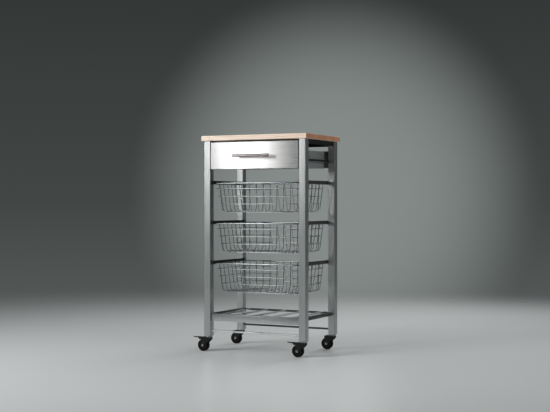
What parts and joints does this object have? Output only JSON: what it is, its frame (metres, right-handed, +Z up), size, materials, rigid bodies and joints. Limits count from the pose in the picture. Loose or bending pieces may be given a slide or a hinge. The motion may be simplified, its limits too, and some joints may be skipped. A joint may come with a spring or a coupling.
{
  "type": "kitchen cart",
  "caption": "Kitchen cart on swivel casters: wooden worktop on square-tube posts, drawer with a bar handle, sliding wire baskets on side rails and a slatted bottle shelf.",
  "frame": {"origin": "on the floor under the middle of the four-post frame", "axes": "+Z up, +X to the right, the drawer faces -Y"},
  "size_m": [0.533, 0.3575, 0.9],
  "materials": {
    "beech": "oiled beech board",
    "frame_metal": "brushed stainless tube",
    "rail_metal": "dark grey satin coat on steel",
    "stainless": "brushed stainless sheet",
    "handle_metal": "satin chrome",
    "chrome": "bright chrome",
    "chrome_wire": "chromed steel wire",
    "zinc_screw": "zinc plated steel",
    "drawer_sheet": "grey powder-coated sheet",
    "core_board": "raw particle board",
    "runner_plastic": "black nylon",
    "black_plastic": "black moulded nylon",
    "hub_plastic": "black moulded nylon",
    "tyre_rubber": "black rubber"
  },
  "bodies": {
    "frame": {"wood_top": "beech", "post_front_left": "frame_metal", "post_front_right": "frame_metal", "post_rear_left": "frame_metal", "post_rear_right": "frame_metal", "caster_sockets": "black_plastic", "top_rail_left": "rail_metal", "top_rail_right": "rail_metal", "top_rail_rear": "rail_metal", "top_screws": "zinc_screw", "rear_panel": "drawer_sheet", "drawer_runner_left": "runner_plastic", "drawer_runner_right": "runner_plastic", "rail_screws": "zinc_screw", "shelf_front_rail": "frame_metal", "shelf_rear_bar": "rail_metal", "shelf_side_rail_left": "rail_metal", "shelf_side_rail_right": "rail_metal", "shelf_slats": "frame_metal", "tie_rod_front": "frame_metal", "tie_rod_rear": "rail_metal", "basket_rail_bottom_left": "rail_metal", "basket_rail_bottom_right": "rail_metal", "basket_rail_middle_left": "rail_metal", "basket_rail_middle_right": "rail_metal", "basket_rail_top_left": "rail_metal", "basket_rail_top_right": "rail_metal", "caster_stem_front_left": "chrome", "caster_stem_front_right": "chrome", "caster_stem_rear_left": "chrome", "caster_stem_rear_right": "chrome"},
    "drawer": {"drawer_front_core": "core_board", "drawer_front_facing": "stainless", "drawer_box": "drawer_sheet", "drawer_slide_left": "drawer_sheet", "drawer_slide_right": "drawer_sheet", "handle_bar": "handle_metal", "handle_posts": "handle_metal", "handle_screws": "zinc_screw"},
    "basket_bottom": {"basket_bottom": "chrome_wire"},
    "basket_middle": {"basket_middle": "chrome_wire"},
    "basket_top": {"basket_top": "chrome_wire"},
    "swivel_front_left": {"caster_fork_front_left": "black_plastic", "caster_axle_front_left": "zinc_screw"},
    "wheel_front_left": {"caster_hub_front_left": "hub_plastic", "caster_tyre_front_left": "tyre_rubber"},
    "pedal_left": {"brake_pedal_left": "black_plastic"},
    "swivel_front_right": {"caster_fork_front_right": "black_plastic", "caster_axle_front_right": "zinc_screw"},
    "wheel_front_right": {"caster_hub_front_right": "hub_plastic", "caster_tyre_front_right": "tyre_rubber"},
    "pedal_right": {"brake_pedal_right": "black_plastic"},
    "swivel_rear_left": {"caster_fork_rear_left": "black_plastic", "caster_axle_rear_left": "zinc_screw"},
    "wheel_rear_left": {"caster_hub_rear_left": "hub_plastic", "caster_tyre_rear_left": "tyre_rubber"},
    "swivel_rear_right": {"caster_fork_rear_right": "black_plastic", "caster_axle_rear_right": "zinc_screw"},
    "wheel_rear_right": {"caster_hub_rear_right": "hub_plastic", "caster_tyre_rear_right": "tyre_rubber"}
  },
  "joints": [
    {"name": "drawer_pull", "type": "slide", "parent": "frame", "child": "drawer", "axis": [0, -1, 0], "range_m": [0, 0.2]},
    {"name": "basket_pull_bottom", "type": "slide", "parent": "frame", "child": "basket_bottom", "axis": [0, -1, 0], "range_m": [0, 0.2]},
    {"name": "basket_pull_middle", "type": "slide", "parent": "frame", "child": "basket_middle", "axis": [0, -1, 0], "range_m": [0, 0.2]},
    {"name": "basket_pull_top", "type": "slide", "parent": "frame", "child": "basket_top", "axis": [0, -1, 0], "range_m": [0, 0.2]},
    {"name": "caster_turn_front_left", "type": "hinge", "parent": "frame", "child": "swivel_front_left", "pos_m": [-0.22, -0.142, 0.058], "axis": [0, 0, 1], "continuous": true},
    {"name": "wheel_spin_front_left", "type": "hinge", "parent": "swivel_front_left", "child": "wheel_front_left", "pos_m": [-0.245, -0.142, 0.025], "axis": [0, 1, 0], "continuous": true},
    {"name": "brake_press_left", "type": "hinge", "parent": "swivel_front_left", "child": "pedal_left", "pos_m": [-0.25, -0.142, 0.055], "axis": [0, -1, 0], "range_deg": [0, 14]},
    {"name": "caster_turn_front_right", "type": "hinge", "parent": "frame", "child": "swivel_front_right", "pos_m": [0.22, -0.142, 0.058], "axis": [0, 0, 1], "continuous": true},
    {"name": "wheel_spin_front_right", "type": "hinge", "parent": "swivel_front_right", "child": "wheel_front_right", "pos_m": [0.195, -0.142, 0.025], "axis": [0, 1, 0], "continuous": true},
    {"name": "brake_press_right", "type": "hinge", "parent": "swivel_front_right", "child": "pedal_right", "pos_m": [0.19, -0.142, 0.055], "axis": [0, -1, 0], "range_deg": [0, 14]},
    {"name": "caster_turn_rear_left", "type": "hinge", "parent": "frame", "child": "swivel_rear_left", "pos_m": [-0.22, 0.142, 0.058], "axis": [0, 0, 1], "continuous": true},
    {"name": "wheel_spin_rear_left", "type": "hinge", "parent": "swivel_rear_left", "child": "wheel_rear_left", "pos_m": [-0.245, 0.142, 0.025], "axis": [0, 1, 0], "continuous": true},
    {"name": "caster_turn_rear_right", "type": "hinge", "parent": "frame", "child": "swivel_rear_right", "pos_m": [0.22, 0.142, 0.058], "axis": [0, 0, 1], "continuous": true},
    {"name": "wheel_spin_rear_right", "type": "hinge", "parent": "swivel_rear_right", "child": "wheel_rear_right", "pos_m": [0.195, 0.142, 0.025], "axis": [0, 1, 0], "continuous": true}
  ]
}
